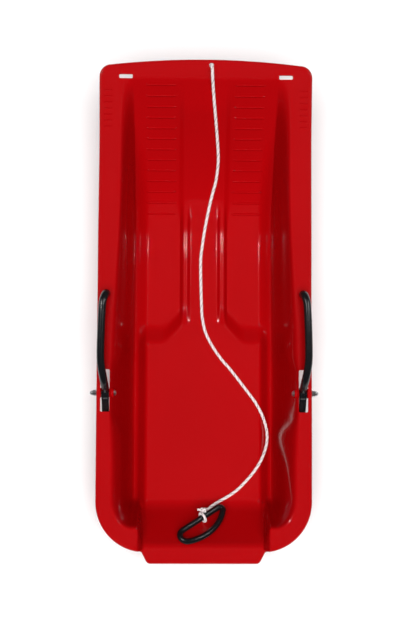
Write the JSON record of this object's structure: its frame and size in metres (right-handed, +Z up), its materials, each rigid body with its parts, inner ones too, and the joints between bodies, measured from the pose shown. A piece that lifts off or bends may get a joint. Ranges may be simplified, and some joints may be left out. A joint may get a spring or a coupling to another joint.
{
  "type": "moulded toboggan with brake levers",
  "caption": "Moulded plastic toboggan with a seat, ribbed footwells, hinged brake levers at the rim and a pull rope with a loop handle.",
  "frame": {"origin": "on the ground, under the middle of the object's box, with the sled standing on its two keels", "axes": "+Y towards the nose, +X to the rider's right, +Z up"},
  "size_m": [0.4234, 0.93, 0.204],
  "materials": {
    "red_plastic": "gloss, moulded",
    "black_plastic": "gloss, moulded",
    "black_handle": "satin, moulded",
    "zinc_steel": "zinc plated",
    "fleck_rope": "braided, with dark flecks"
  },
  "bodies": {
    "sled": {"hull": "red_plastic", "pivot_bolt_left": "zinc_steel", "pivot_bolt_right": "zinc_steel", "inner_washer_left": "zinc_steel", "inner_washer_right": "zinc_steel", "outer_washer_left": "zinc_steel", "outer_washer_right": "zinc_steel", "cap_nut_left": "zinc_steel", "cap_nut_right": "zinc_steel", "pull_rope": "fleck_rope", "nose_knot": "fleck_rope", "handle_knot": "fleck_rope", "rope_handle": "black_handle"},
    "brake_left": {"brake_lever_left": "black_plastic"},
    "brake_right": {"brake_lever_right": "black_plastic"}
  },
  "joints": [
    {"name": "brake_left_hinge", "type": "hinge", "parent": "sled", "child": "brake_left", "pos_m": [-0.183, -0.15, 0.123], "axis": [1, 0, 0], "range_deg": [0, 55]},
    {"name": "brake_right_hinge", "type": "hinge", "parent": "sled", "child": "brake_right", "pos_m": [0.183, -0.15, 0.123], "axis": [1, 0, 0], "range_deg": [0, 55]}
  ]
}
